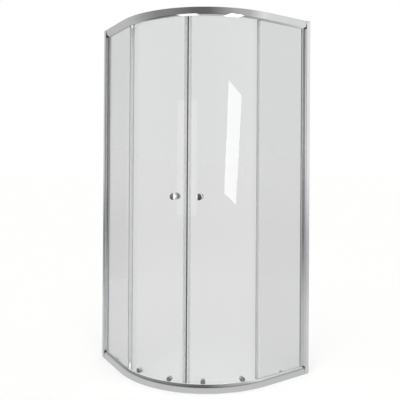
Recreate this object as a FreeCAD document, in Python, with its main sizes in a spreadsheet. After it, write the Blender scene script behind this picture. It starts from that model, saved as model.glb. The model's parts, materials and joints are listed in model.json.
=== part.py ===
import FreeCAD, Part
import math
import os
import Sketcher
from FreeCAD import Placement, Rotation, Vector
from types import SimpleNamespace

# Quadrant shower enclosure: two fixed glass panels, two curved doors that slide on wheels,
# a curved rail at the top and bottom, and a wall profile at each end. Millimetres.
# The origin is on the floor under the middle of the square that the enclosure fills.
# The walls are at +X and +Y, and the doors close on the diagonal that points to -X -Y.
# "Inset" is the distance inward from the outer face, and "reach" the distance from the wall.

doc = FreeCAD.newDocument("quadrant_shower_enclosure")

driving = {
    # the whole enclosure
    "width": 820.0,
    "height": 1850.0,
    "corner_radius": 550.0,
    "glass_thick": 5.0,
    # rails
    "rail_height": 40.0,
    "rail_wall": 1.5,
    "rail_base": 2.0,
    "knee_inset": 5.0,
    "knee_height": 29.0,
    "lip_inset": 11.5,
    "track_height": 30.0,
    "hook_height": 7.5,
    "hook_thick": 2.5,
    "rail_end_reach": 25.0,
    "cover_drop": 2.0,
    "cover_wall": 1.5,
    # fixed glass and its gaskets
    "fixed_inset": 16.0,
    "gasket_leg": 1.5,
    "gasket_lip": 1.6,
    "fixed_glass_reach": 34.5,
    "panel_edge_angle": 39.3,
    # wall profiles and jambs
    "profile_reach": 23.0,
    "profile_depth": 28.0,
    "profile_wall": 1.6,
    "jamb_start_reach": 8.0,
    "jamb_body_reach": 31.0,
    "jamb_neck_reach": 43.0,
    "jamb_wall": 1.4,
    "jamb_side_gap": 0.4,
    "jamb_end_gap": 0.1,
    "end_cap_thick": 2.0,
    "end_cap_plug": 8.0,
    # screws
    "wall_screw_hole": 5.5,
    "wall_screw_end": 150.0,
    "adjuster_end": 100.0,
    "adjuster_diameter": 3.8,
    "adjuster_head_diameter": 7.2,
    "adjuster_head_height": 1.8,
    "adjuster_cap_diameter": 11.0,
    "adjuster_cap_height": 3.6,
    "rail_screw_diameter": 3.5,
    "rail_screw_length": 62.0,
    "rail_screw_head_diameter": 7.2,
    "rail_screw_head_height": 1.0,
    # doors
    "door_gap": 5.5,
    "door_bottom": 10.0,
    "door_top_gap": 4.0,
    "door_edge_angle": 40.6,
    "door_travel": 210.0,
    # seals
    "seal_wall": 0.9,
    "seal_web": 1.3,
    "edge_seal_leg": 8.0,
    "fixed_fin_length": 11.0,
    "door_fin_length": 10.0,
    "fin_lean": 5.0,
    "fin_foot": 59.0,
    "fin_head_gap": 2.0,
    "magnet_width": 3.0,
    "magnet_depth": 5.0,
    "magnet_skin": 0.5,
    "magnet_web": 4.0,
    "magnet_leg": 11.0,
    "meeting_gap": 0.3,
    # rollers
    "inner_roller_angle": 9.5,
    "outer_roller_angle": 31.2,
    "wheel_diameter": 25.0,
    "wheel_width": 4.0,
    "wheel_rim": 2.6,
    "wheel_hub_diameter": 11.0,
    "wheel_dish": 0.8,
    "wheel_room": 5.4,
    "ledge_room": 2.5,
    "wheel_lift": 0.3,
    "axle_diameter": 5.0,
    "axle_play": 0.06,
    "wheel_side_gap": 0.2,
    "bolt_head_diameter": 9.0,
    "bolt_head_height": 1.2,
    "bush_diameter": 13.0,
    "washer_diameter": 18.0,
    "washer_thick": 1.0,
    "cap_diameter": 22.0,
    "cap_height": 6.0,
    "cap_bevel": 2.0,
    "roller_hole": 8.0,
    # knobs
    "knob_angle": 6.9,
    "knob_height": 938.0,
    "knob_diameter": 35.0,
    "knob_length": 30.0,
    "knob_base_diameter": 20.0,
    "knob_base_length": 4.0,
    "knob_neck_diameter": 14.0,
    "knob_neck_length": 11.0,
    "knob_round": 3.0,
    "stud_diameter": 6.0,
    "stud_depth": 12.0,
    "knob_hole": 10.0,
    # door stops
    "stop_length": 10.0,
    "stop_height": 15.0,
    "stop_gap": 0.5,
    # clearances between pieces that rest against each other
    "fit_gap": 0.05,
    "bore_gap": 0.1,
}

sheet = doc.addObject("Spreadsheet::Sheet", "Sizes")
for row, (word, number) in enumerate(driving.items(), 1):
    sheet.set(f"A{row}", word)
    sheet.set(f"B{row}", str(number))
    sheet.setAlias(f"B{row}", word)


class Size:
    """A number together with the formula on the sheet that gives it."""

    def __init__(self, number, formula=None):
        self.number = float(number)
        self.formula = formula or repr(self.number)

    def joined(self, other, sign, number):
        return Size(number, f"({self.formula} {sign} {other.formula})")

    def __add__(self, other):
        other = as_size(other)
        return self.joined(other, "+", self.number + other.number)

    def __sub__(self, other):
        other = as_size(other)
        return self.joined(other, "-", self.number - other.number)

    def __mul__(self, other):
        other = as_size(other)
        return self.joined(other, "*", self.number * other.number)

    def __truediv__(self, other):
        other = as_size(other)
        return self.joined(other, "/", self.number / other.number)

    def __radd__(self, other):
        return as_size(other) + self

    def __rsub__(self, other):
        return as_size(other) - self

    def __rmul__(self, other):
        return as_size(other) * self


def as_size(value):
    return value if isinstance(value, Size) else Size(value)


def cosine(angle):
    return Size(math.cos(math.radians(angle.number)), f"cos({angle.formula})")


def sine(angle):
    return Size(math.sin(math.radians(angle.number)), f"sin({angle.formula})")


def root(value):
    return Size(math.sqrt(value.number), f"sqrt({value.formula})")


size = SimpleNamespace(**{word: Size(number, f"Sizes.{word}") for word, number in driving.items()})
left, right = -1, 1
side_names = {left: "left", right: "right"}
diagonal = 225  # direction from the arc's centre to where the doors meet, in degrees
quarter_half = 45  # from that diagonal to where the arc meets a straight run
full_turn = 360
same_radius = 1e-6  # two radii nearer than this are the same
degrees_per_radian = 180 / math.pi

# places that follow from the driving sizes
half = size.width / 2
arc_centre = size.corner_radius - half
straight = size.width - size.corner_radius
fixed_back = size.fixed_inset + size.glass_thick
channel_front = size.fixed_inset - size.fit_gap - size.gasket_leg
channel_back = fixed_back + size.fit_gap + size.gasket_leg
wheel_inset = channel_back + size.rail_wall + size.wheel_room + size.wheel_width / 2
rail_depth = wheel_inset + size.wheel_width / 2 + size.ledge_room
door_inset = rail_depth + size.door_gap
door_back = door_inset + size.glass_thick
glass_seat = size.rail_base + size.gasket_leg
jamb_foot = size.rail_height + size.gasket_lip + size.jamb_end_gap
fin_head = size.height - size.rail_height - size.gasket_lip - size.fin_head_gap
wheel_radius = size.wheel_diameter / 2
bottom_wheel_height = size.track_height + size.wheel_lift + wheel_radius
hook_top = size.rail_height - size.hook_height
top_wheel_drop = hook_top - size.wheel_lift - wheel_radius
top_wheel_height = size.height - top_wheel_drop
mid_height = size.height / 2


def bind(item, name, value):
    item.setExpression(name, as_size(value).formula)


def place(item, x=0, y=0, z=0, turn=None, axis=Vector(0, 0, 1), fixed_turn=0):
    """Puts an object at (x, y, z), turned about an axis by a fixed or a bound angle."""
    first_turn = turn.number if turn else fixed_turn
    item.Placement = Placement(Vector(0, 0, 0), Rotation(axis, first_turn))
    for letter, value in zip("xyz", (x, y, z)):
        bind(item, f"Placement.Base.{letter}", value)
    if turn:
        bind(item, "Placement.Rotation.Angle", turn)


def new_body(label, x=0, y=0, z=0, turn=None):
    body = doc.addObject("PartDesign::Body", label)
    body.Label = label
    place(body, x, y, z, turn)
    return body


def centred_body(label, turn=None, z=0):
    """A body whose own origin is the centre of the corner's arc."""
    return new_body(label, arc_centre, arc_centre, z, turn)


def direction(side, angle):
    """The direction of a place on the arc, from its angle to the diagonal."""
    return diagonal + side * as_size(angle)


def new_sketch(body, plane, turn=None, lift=None):
    sketch = body.newObject("Sketcher::SketchObject", body.Label + "_sketch")
    origin_planes = {item.Role: item for item in body.Origin.OriginFeatures}
    sketch.AttachmentSupport = [(origin_planes[plane], "")]
    sketch.MapMode = "FlatFace"
    if turn:
        sketch.AttachmentOffset = Placement(Vector(0, 0, 0), Rotation(Vector(0, 1, 0), turn.number))
        bind(sketch, "AttachmentOffset.Rotation.Angle", turn)
    if lift:
        bind(sketch, "AttachmentOffset.Base.z", lift)
    return sketch


def fix_point(sketch, geometry, point, corner):
    for kind, coordinate in zip(("DistanceX", "DistanceY"), corner):
        index = sketch.addConstraint(Sketcher.Constraint(kind, geometry, point, coordinate.number))
        bind(sketch, f"Constraints[{index}]", coordinate)


def draw_loop(sketch, corners):
    """A closed outline of straight lines, each corner fixed by two formulas."""
    corners = [(as_size(x), as_size(y)) for x, y in corners]
    first = sketch.GeometryCount
    for (x0, y0), (x1, y1) in zip(corners, corners[1:] + corners[:1]):
        start = Vector(x0.number, y0.number, 0)
        end = Vector(x1.number, y1.number, 0)
        sketch.addGeometry(Part.LineSegment(start, end), False)
    for number, corner in enumerate(corners):
        before = first + (number - 1) % len(corners)
        sketch.addConstraint(Sketcher.Constraint("Coincident", before, 2, first + number, 1))
        fix_point(sketch, first + number, 1, corner)


def draw_circle(sketch, x, y, diameter):
    radius = diameter / 2
    x, y = as_size(x), as_size(y)
    centre = Vector(x.number, y.number, 0)
    circle = sketch.addGeometry(Part.Circle(centre, Vector(0, 0, 1), radius.number), False)
    index = sketch.addConstraint(Sketcher.Constraint("Radius", circle, radius.number))
    bind(sketch, f"Constraints[{index}]", radius)
    fix_point(sketch, circle, 3, (x, y))


def section_sketch(body, loops, turn=None):
    """An upright section through the arc's axis, its loops given as (inset, height)."""
    sketch = new_sketch(body, "XZ_Plane", turn)
    for loop in loops:
        draw_loop(sketch, [(size.corner_radius - inset, z) for inset, z in loop])
    return sketch


def plan_sketch(body, corners, lift=None):
    sketch = new_sketch(body, "XY_Plane", lift=lift)
    draw_loop(sketch, corners)
    return sketch


def add_feature(body, kind, sketch, backwards):
    feature = body.newObject(f"PartDesign::{kind}", f"{body.Label}_{kind.lower()}")
    feature.Profile = sketch
    feature.Reversed = backwards
    body.Tip = feature
    return feature


def pad(body, sketch, length, backwards=False):
    feature = add_feature(body, "Pad", sketch, backwards)
    bind(feature, "Length", length)


def revolve(body, sketch, sweep, backwards=False, axis="V_Axis"):
    feature = add_feature(body, "Revolution", sketch, backwards)
    feature.ReferenceAxis = (sketch, [axis])
    bind(feature, "Angle", sweep)


def group(label, items):
    """Several separate solids that share one name."""
    compound = doc.addObject("Part::Compound", label)
    compound.Label = label
    compound.Links = items
    return compound


def cut(label, base, tools):
    tool = tools[0] if len(tools) == 1 else group(label + "_cutters", tools)
    result = doc.addObject("Part::Cut", label)
    result.Label = label
    result.Base = base
    result.Tool = tool
    return result


def fuse(label, items):
    result = doc.addObject("Part::MultiFuse", label)
    result.Label = label
    result.Shapes = items
    return result


# a rod's own axis is Z: these turns lay it along X or Y
rod_turns = {"X": (Vector(0, 1, 0), 90), "Y": (Vector(1, 0, 0), -90), "Z": (Vector(0, 0, 1), 0)}


def rod(label, along, diameter, length, start):
    cylinder = doc.addObject("Part::Cylinder", label)
    cylinder.Label = label
    bind(cylinder, "Radius", diameter / 2)
    bind(cylinder, "Height", length)
    axis, turn = rod_turns[along]
    place(cylinder, *start, axis=axis, fixed_turn=turn)
    return cylinder


def block(label, low, high):
    box = doc.addObject("Part::Box", label)
    box.Label = label
    spans = [as_size(high[i]) - as_size(low[i]) for i in range(3)]
    for name, span in zip(("Length", "Width", "Height"), spans):
        bind(box, name, span)
    place(box, *low)
    return box


def wall_point(side, reach, inset):
    """A place on the floor plan, from its distance to the wall and to the outer face."""
    along, across = half - reach, inset - half
    return (across, along) if side == left else (along, across)


def wall_rod(label, side, diameter, reach, inset_from, length, z):
    """A rod that points into the shower, square to the straight panel."""
    x, y = wall_point(side, reach, inset_from)
    return rod(label, "X" if side == left else "Y", diameter, length, (x, y, z))


def wall_block(label, side, reach, inset, z):
    """A block given by two reaches, two insets and two heights."""
    a = wall_point(side, reach[0], inset[0])
    b = wall_point(side, reach[1], inset[1])
    low_x, high_x = sorted((a[0], b[0]), key=lambda value: value.number)
    low_y, high_y = sorted((a[1], b[1]), key=lambda value: value.number)
    return block(label, (low_x, low_y, z[0]), (high_x, high_y, z[1]))


def mirrored(loop):
    """The same section turned upside down, for the top of the enclosure."""
    return [(inset, size.height - z) for inset, z in loop]


# Rails -------------------------------------------------------------------------------


def outer_face():
    """The rail's outer wall: leaning in a little, then more steeply up to its lip."""
    return [
        (size.lip_inset + size.rail_wall, size.rail_height),
        (size.lip_inset, size.rail_height),
        (size.knee_inset, size.knee_height),
        (0, 0),
    ]


def wall_inside():
    return [
        (channel_back, size.rail_base),
        (size.rail_wall, size.rail_base),
        (size.knee_inset + size.rail_wall, size.knee_height),
    ]


def bottom_rail_loops():
    ledge = size.track_height
    outside = [(rail_depth, 0), (rail_depth, ledge), (channel_back, ledge)]
    hollow = [
        (channel_back + size.rail_wall, size.rail_base),
        (rail_depth - size.rail_wall, size.rail_base),
        (rail_depth - size.rail_wall, ledge - size.rail_wall),
        (channel_back + size.rail_wall, ledge - size.rail_wall),
    ]
    return [outside + wall_inside() + outer_face(), hollow]


def top_rail_loops():
    """Upside down: the doors hang on the hook inside, which is their track."""
    hook_foot = hook_top + size.hook_thick
    inside = [
        (rail_depth, 0),
        (rail_depth, size.rail_base),
        (channel_back + size.rail_wall, size.rail_base),
        (channel_back + size.rail_wall, hook_top),
        (rail_depth, hook_top),
        (rail_depth, hook_foot),
        (channel_back, hook_foot),
    ]
    return [mirrored(inside + wall_inside() + outer_face())]


def make_rail(label, loops, screw_z):
    body = centred_body(label + "_blank")
    run = straight - size.rail_end_reach
    left_section = section_sketch(body, loops, direction(left, quarter_half))
    revolve(body, left_section, 2 * quarter_half)
    pad(body, left_section, run)
    right_section = section_sketch(body, loops, direction(right, quarter_half))
    pad(body, right_section, run, backwards=True)
    holes = []
    for side in (left, right):
        x, y = rail_screw_place(side)
        tag = f"{label}_{side_names[side]}"
        clear = size.rail_screw_diameter + 2 * size.bore_gap
        sunk = size.rail_screw_head_diameter + 2 * size.bore_gap
        low, high, recess = screw_z
        holes.append(rod(tag + "_screw_hole", "Z", clear, high - low, (x, y, low)))
        holes.append(rod(tag + "_screw_recess", "Z", sunk, recess[1] - recess[0], (x, y, recess[0])))
    return cut(label, body, holes)


def rail_screw_place(side):
    reach = (size.rail_end_reach + size.jamb_body_reach) / 2
    return wall_point(side, reach, (channel_front + channel_back) / 2)


def make_rails():
    recess = size.rail_screw_head_height + size.bore_gap
    bottom = (Size(0), size.rail_base, (Size(0), recess))
    top = (size.height - size.rail_base, size.height, (size.height - recess, size.height))
    return [
        make_rail("bottom_rail", bottom_rail_loops(), bottom),
        make_rail("top_rail", top_rail_loops(), top),
    ]


def cover_loop():
    """A strip that closes the empty glass channel between the two fixed panels."""
    outer = size.lip_inset + size.rail_wall + size.meeting_gap
    inner = channel_back - size.meeting_gap
    top = size.rail_height - size.cover_drop
    return [
        (outer, size.rail_base),
        (outer + size.cover_wall, size.rail_base),
        (outer + size.cover_wall, top - size.cover_wall),
        (inner - size.cover_wall, top - size.cover_wall),
        (inner - size.cover_wall, size.rail_base),
        (inner, size.rail_base),
        (inner, top),
        (outer, top),
    ]


def make_channel_covers():
    covers = []
    seal_room = (size.seal_web + size.meeting_gap) / (size.corner_radius - channel_back)
    reach = size.panel_edge_angle - seal_room * degrees_per_radian
    for label, loop in (("bottom", cover_loop()), ("top", mirrored(cover_loop()))):
        body = centred_body(label + "_channel_cover")
        section = section_sketch(body, [loop], direction(left, reach))
        revolve(body, section, 2 * reach)
        covers.append(body)
    return covers


# Fixed panels ------------------------------------------------------------------------


def fixed_panel_run(body, side, loop):
    """A section that follows the straight run and the arc up to the panel's free edge."""
    section = section_sketch(body, [loop], direction(side, quarter_half))
    revolve(body, section, quarter_half - size.panel_edge_angle, backwards=side == right)
    pad(body, section, straight - size.fixed_glass_reach, backwards=side == right)


def make_fixed_glass(side):
    body = centred_body(f"fixed_glass_{side_names[side]}")
    low, high = glass_seat, size.height - glass_seat
    loop = [(size.fixed_inset, low), (fixed_back, low), (fixed_back, high), (size.fixed_inset, high)]
    fixed_panel_run(body, side, loop)
    return body


def gasket_loop():
    """A channel strip round the edge of the glass, with a lip over the rail's outer wall."""
    front, back = size.fixed_inset - size.fit_gap, fixed_back + size.fit_gap
    lip_top = size.rail_height + size.gasket_lip
    return [
        (channel_front, size.rail_base),
        (channel_back, size.rail_base),
        (channel_back, size.track_height),
        (back, size.track_height),
        (back, glass_seat),
        (front, glass_seat),
        (front, lip_top),
        (size.lip_inset, lip_top),
        (size.lip_inset, size.rail_height),
        (channel_front, size.rail_height),
    ]


def make_rail_gaskets(side):
    strips = []
    for level, loop in (("bottom", gasket_loop()), ("top", mirrored(gasket_loop()))):
        body = centred_body(f"{level}_gasket_{side_names[side]}")
        fixed_panel_run(body, side, loop)
        strips.append(body)
    return group(f"rail_gaskets_{side_names[side]}", strips)


def arc_point(side, inset, offset):
    """A place on the plan: on the circle at this inset, this far along it from the body's X axis."""
    radius = size.corner_radius - inset
    angle = offset / radius * degrees_per_radian
    return radius * cosine(angle), side * radius * sine(angle)


def add_strip(body, side, corners, low, high):
    """Adds an upright strip of one plan section, given as (inset, offset)."""
    plan = [arc_point(side, as_size(inset), as_size(offset)) for inset, offset in corners]
    pad(body, plan_sketch(body, plan, lift=low), high - low)


def strip_body(label, side, angle, corners, low, high):
    body = centred_body(label, turn=direction(side, angle))
    add_strip(body, side, corners, low, high)
    return body


def clip_corners(front, back, leg, web):
    """A U round the edge of a pane. The pane lies on the leg's side of the zero offset."""
    skin, gap = size.seal_wall, size.bore_gap
    return [
        (front - gap - skin, -1 * web),
        (back + gap + skin, -1 * web),
        (back + gap + skin, leg),
        (back + gap, leg),
        (back + gap, 0 * web),
        (front - gap, 0 * web),
        (front - gap, leg),
        (front - gap - skin, leg),
    ]


def make_panel_edge_seal(side):
    """On the free edge of a fixed panel: its fin leans towards the door behind it.

    The fin starts above the wheels of the bottom rail, which pass it."""
    label = f"panel_edge_seal_{side_names[side]}"
    low, high = size.rail_height + size.gasket_lip, size.height - size.rail_height - size.gasket_lip
    clip = clip_corners(size.fixed_inset, fixed_back, size.edge_seal_leg, size.seal_web)
    body = strip_body(label, side, size.panel_edge_angle, clip, low, high)
    root_inset = fixed_back + size.bore_gap + size.fit_gap
    tip_inset = root_inset + size.fixed_fin_length
    fin = [
        (root_inset, -1 * size.seal_web),
        (tip_inset, size.fin_lean),
        (tip_inset, size.fin_lean + size.seal_wall),
        (root_inset, size.seal_wall - size.seal_web),
    ]
    add_strip(body, side, fin, size.fin_foot, fin_head)
    return body


# Wall profiles and jambs -------------------------------------------------------------


def upright(label, side, corners, low, high):
    body = new_body(label)
    plan = [wall_point(side, as_size(reach), as_size(inset)) for reach, inset in corners]
    pad(body, plan_sketch(body, plan, lift=as_size(low)), high - low)
    return body


def screw_levels(end):
    return {"low": end, "middle": mid_height, "high": size.height - end}


def adjuster_reach():
    return (size.jamb_start_reach + size.profile_reach) / 2


def make_wall_profile(side):
    name = side_names[side]
    wall, deep, out = size.profile_wall, size.profile_depth, size.profile_reach
    corners = [(0, 0), (out, 0), (out, wall), (wall, wall)]
    corners += [(wall, deep - wall), (out, deep - wall), (out, deep), (0, deep)]
    blank = upright(f"wall_profile_{name}_blank", side, corners, 0, size.height - size.end_cap_thick)
    holes = []
    for level, z in screw_levels(size.wall_screw_end).items():
        start = wall_point(side, wall, deep / 2)
        along = "Y" if side == left else "X"
        holes.append(rod(f"wall_hole_{name}_{level}", along, size.wall_screw_hole, wall, (*start, z)))
    clear = size.adjuster_diameter + 2 * size.bore_gap
    for level, z in screw_levels(size.adjuster_end).items():
        label = f"profile_hole_{name}_{level}"
        holes.append(wall_rod(label, side, clear, adjuster_reach(), deep - wall, wall, z))
    return cut(f"wall_profile_{name}", blank, holes)


def jamb_insets():
    front = size.profile_wall + size.jamb_side_gap
    return front, size.profile_depth - front


def make_jamb(side):
    """Holds the fixed glass, and slides in the wall profile to take up an uneven wall."""
    name = side_names[side]
    wall, near, far = size.jamb_wall, size.jamb_start_reach, size.jamb_body_reach
    tip = size.jamb_neck_reach
    front, back = jamb_insets()
    outline = [(near, front), (far, front), (far, channel_front - wall), (tip, channel_front - wall)]
    outline += [(tip, channel_front), (far + wall, channel_front), (far + wall, channel_back)]
    outline += [(tip, channel_back), (tip, channel_back + wall), (far, channel_back + wall)]
    outline += [(far, back), (near, back)]
    foot, top = as_size(size.rail_base), size.height - size.end_cap_thick - size.jamb_end_gap
    blank = upright(f"jamb_{name}_blank", side, outline, foot, top)
    port = size.rail_end_reach - size.jamb_end_gap
    hollow_corners = [(near + wall, front + wall), (far - wall, front + wall), (far - wall, channel_front)]
    hollow_corners += [(port, channel_front), (port, channel_back), (far - wall, channel_back)]
    hollow_corners += [(far - wall, back - wall), (near + wall, back - wall)]
    tools = [upright(f"jamb_{name}_hollow", side, hollow_corners, foot, top)]
    over = size.profile_depth
    for level, z in (("foot", (Size(0), jamb_foot)), ("head", (size.height - jamb_foot, size.height))):
        notch = wall_block(f"jamb_{name}_{level}_notch", side, (port, tip + wall), (Size(0), over), z)
        tools.append(notch)
    x, y = rail_screw_place(side)
    bore = size.rail_screw_diameter + 2 * size.fit_gap
    tools.append(rod(f"jamb_{name}_screw_port", "Z", bore, size.height, (x, y, 0)))
    for level, z in screw_levels(size.adjuster_end).items():
        pilot = size.adjuster_diameter + 2 * size.fit_gap
        label = f"jamb_hole_{name}_{level}"
        tools.append(wall_rod(label, side, pilot, adjuster_reach(), back - wall, wall, z))
    return cut(f"jamb_{name}", blank, tools)


def make_jamb_gasket(side):
    """The channel strip round the upright edge of the fixed glass, in the jamb's neck."""
    front, back = size.fixed_inset - size.fit_gap, fixed_back + size.fit_gap
    bed = size.jamb_body_reach + size.jamb_wall
    tip, lip = size.jamb_neck_reach, size.jamb_neck_reach + size.gasket_lip
    seat = size.fixed_glass_reach - size.fit_gap
    outer, inner = channel_front - size.jamb_wall, channel_back + size.jamb_wall
    corners = [(bed, channel_front), (tip, channel_front), (tip, outer), (lip, outer), (lip, front)]
    corners += [(seat, front), (seat, back), (lip, back), (lip, inner), (tip, inner)]
    corners += [(tip, channel_back), (bed, channel_back)]
    return upright(f"jamb_gasket_{side_names[side]}", side, corners, jamb_foot, size.height - jamb_foot)


def make_end_caps():
    """A plate over the open top of each wall profile, with a plug into the channel."""
    caps = []
    for side in (left, right):
        name = side_names[side]
        under, inside = size.height - size.end_cap_thick, size.profile_wall + size.bore_gap
        plate = wall_block(
            f"end_cap_plate_{name}",
            side,
            (Size(0), size.profile_reach),
            (Size(0), size.profile_depth),
            (under, size.height),
        )
        plug = wall_block(
            f"end_cap_plug_{name}",
            side,
            (inside, size.jamb_start_reach - size.meeting_gap),
            (inside, size.profile_depth - inside),
            (under - size.end_cap_plug, under),
        )
        caps.append(fuse(f"end_cap_{name}", [plate, plug]))
    return group("profile_end_caps", caps)


def make_corner_blocks():
    """A block in each rail end, which the rail's screw clamps to the jamb."""
    blocks = []
    reach = (size.rail_end_reach + size.meeting_gap, size.fixed_glass_reach - size.meeting_gap)
    inset = (channel_front, channel_back)
    levels = {
        "foot": (size.rail_base, jamb_foot),
        "head": (size.height - jamb_foot, size.height - size.rail_base),
    }
    clear = size.rail_screw_diameter + 2 * size.bore_gap
    for side in (left, right):
        for level, z in levels.items():
            label = f"{level}_block_{side_names[side]}"
            x, y = rail_screw_place(side)
            hole = rod(label + "_hole", "Z", clear, z[1] - z[0], (x, y, z[0]))
            blank = wall_block(label + "_blank", side, reach, inset, z)
            blocks.append(cut(label, blank, [hole]))
    return group("corner_blocks", blocks)


def make_rail_screws():
    """One long screw at each rail end, from outside the rail into the jamb's screw port."""
    screws = []
    head, length = size.rail_screw_head_height, size.rail_screw_length
    for side in (left, right):
        x, y = rail_screw_place(side)
        for level in ("foot", "head"):
            label = f"rail_screw_{level}_{side_names[side]}"
            bottom = level == "foot"
            head_z = size.bore_gap if bottom else size.height - size.bore_gap - head
            shank_z = head_z + head if bottom else head_z - length
            parts = [
                rod(label + "_head", "Z", size.rail_screw_head_diameter, head, (x, y, head_z)),
                rod(label + "_shank", "Z", size.rail_screw_diameter, length, (x, y, shank_z)),
            ]
            screws.append(fuse(label, parts))
    return group("rail_screws", screws)


def make_adjusting_screws():
    """Screws from inside the shower that lock each jamb in its wall profile, and their caps."""
    screws, caps = [], []
    face, tip = size.profile_depth, jamb_insets()[1] - size.jamb_wall
    head_high, cap_high = size.adjuster_head_height, size.adjuster_cap_height
    for side in (left, right):
        for level, z in screw_levels(size.adjuster_end).items():
            tag, reach = f"{side_names[side]}_{level}", adjuster_reach()
            shank = wall_rod(
                f"adjuster_shank_{tag}", side, size.adjuster_diameter, reach, tip, face - tip, z
            )
            head = wall_rod(
                f"adjuster_head_{tag}", side, size.adjuster_head_diameter, reach, face, head_high, z
            )
            screws.append(fuse(f"adjuster_{tag}", [shank, head]))
            shell = wall_rod(
                f"cap_shell_{tag}", side, size.adjuster_cap_diameter, reach, face, cap_high, z
            )
            room = size.adjuster_head_diameter + 2 * size.bore_gap
            inside = wall_rod(
                f"cap_inside_{tag}", side, room, reach, face, head_high + size.bore_gap, z
            )
            caps.append(cut(f"adjuster_cap_{tag}", shell, [inside]))
    return [group("adjusting_screws", screws), group("screw_caps", caps)]


# Doors -------------------------------------------------------------------------------

roller_angles = {"inner": size.inner_roller_angle, "outer": size.outer_roller_angle}
roller_heights = {"top": top_wheel_height, "bottom": bottom_wheel_height}
pane_edge = size.meeting_gap / 2 + size.magnet_skin + size.magnet_width + size.magnet_web


def door_glass_start():
    """The angle from the diagonal to the door's leading edge."""
    return (pane_edge + size.fit_gap) / (size.corner_radius - door_inset) * degrees_per_radian


def make_door_glass(side):
    body = centred_body(f"door_glass_{side_names[side]}")
    low, high = size.door_bottom, size.height - size.door_top_gap
    loop = [(door_inset, low), (door_back, low), (door_back, high), (door_inset, high)]
    section = section_sketch(body, [loop], direction(side, door_glass_start()))
    revolve(body, section, size.door_edge_angle - door_glass_start(), backwards=side == left)
    holes = {size.knob_angle: [(size.knob_height, size.knob_hole)]}
    for angle in roller_angles.values():
        holes[angle] = [(z, size.roller_hole) for z in roller_heights.values()]
    for angle, circles in holes.items():
        sketch = new_sketch(body, "YZ_Plane", direction(side, angle))
        for z, diameter in circles:
            draw_circle(sketch, 0, z, diameter)
        pocket = add_feature(body, "Pocket", sketch, True)
        pocket.Type = "ThroughAll"
    return body


def turned(label, side, angle, z, corners):
    """A piece turned about the radial line at an angle and height: corners are (inset, radius)."""
    body = centred_body(label, turn=direction(side, angle), z=z)
    sketch = new_sketch(body, "XZ_Plane")
    draw_loop(sketch, [(size.corner_radius - inset, radius) for inset, radius in corners])
    revolve(body, sketch, full_turn, axis="H_Axis")
    return body


def ring(start, end, outer, bore):
    return [(start, bore / 2), (end, bore / 2), (end, outer / 2), (start, outer / 2)]


def wheel_corners():
    """A flat tread on a thin dished web, with a hub that runs on the bolt."""
    outer, inner = wheel_inset - size.wheel_width / 2, wheel_inset + size.wheel_width / 2
    bore = size.axle_diameter / 2 + size.axle_play
    hub, rim = size.wheel_hub_diameter / 2, wheel_radius - size.wheel_rim
    dish = size.wheel_dish
    return [
        (outer, bore),
        (inner, bore),
        (inner, hub),
        (inner - dish, hub),
        (inner - dish, rim),
        (inner, rim),
        (inner, wheel_radius),
        (outer, wheel_radius),
        (outer, rim),
        (outer + dish, rim),
        (outer + dish, hub),
        (outer, hub),
    ]


def bolt_corners():
    face = wheel_inset - size.wheel_width / 2 - size.wheel_side_gap
    start = face - size.bolt_head_height
    end = door_back + size.bore_gap + size.washer_thick + size.cap_height - size.cap_bevel
    head, shank = size.bolt_head_diameter / 2, size.axle_diameter / 2
    return [(start, 0), (end, 0), (end, shank), (face, shank), (face, head), (start, head)]


def cap_corners():
    start = door_back + size.bore_gap + size.washer_thick
    end = start + size.cap_height
    floor = end - size.cap_bevel + size.bore_gap
    bore, outer = size.axle_diameter / 2 + size.fit_gap, size.cap_diameter / 2
    return [
        (start, bore),
        (floor, bore),
        (floor, 0),
        (end, 0),
        (end, outer - size.cap_bevel),
        (end - size.cap_bevel, outer),
        (start, outer),
    ]


def make_wheels(side):
    wheels = []
    for level, z in roller_heights.items():
        for position, angle in roller_angles.items():
            label = f"{level}_wheel_{side_names[side]}_{position}"
            wheels.append(turned(label, side, angle, z, wheel_corners()))
    return wheels


def make_roller_sets(side):
    """The bolt, bush, washers and cap nut that carry each wheel on the door glass."""
    name = side_names[side]
    bore = size.axle_diameter + 2 * size.fit_gap
    bush_start = wheel_inset + size.wheel_width / 2 + size.wheel_side_gap
    bush = ring(bush_start, door_inset - size.washer_thick, size.bush_diameter, bore)
    front_washer = ring(door_inset - size.washer_thick, door_inset, size.washer_diameter, bore)
    back_start = door_back + size.bore_gap
    back_washer = ring(back_start, back_start + size.washer_thick, size.washer_diameter, bore)
    nodes, washers = [], []
    for level, z in roller_heights.items():
        kinds = {"bolt": bolt_corners(), "bush": bush, "cap": cap_corners()}
        for kind, corners in kinds.items():
            pair = []
            for position, angle in roller_angles.items():
                label = f"{level}_roller_{kind}_{name}_{position}"
                pair.append(turned(label, side, angle, z, corners))
            plural = "bushes" if kind == "bush" else kind + "s"
            nodes.append(group(f"{level}_roller_{plural}_{name}", pair))
        for position, angle in roller_angles.items():
            for face, corners in (("front", front_washer), ("back", back_washer)):
                label = f"{level}_washer_{name}_{position}_{face}"
                washers.append(turned(label, side, angle, z, corners))
    nodes.append(group(f"roller_washers_{name}", washers))
    return nodes


def knob_corners(start, way):
    """A knob's half section from its foot on the glass: way is -1 outward, 1 inward."""
    base, neck, head = size.knob_base_diameter, size.knob_neck_diameter, size.knob_diameter
    base_end, neck_end = size.knob_base_length, size.knob_neck_length
    bore = size.stud_diameter / 2 + size.fit_gap
    depth = size.stud_depth + size.bore_gap
    steps = [(0, bore), (depth, bore), (depth, 0), (size.knob_length, 0), (size.knob_length, head / 2)]
    steps += [(neck_end, head / 2), (neck_end, neck / 2), (base_end, neck / 2), (base_end, base / 2)]
    steps += [(0, base / 2)]
    return [(start + way * as_size(along), radius) for along, radius in steps]


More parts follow.
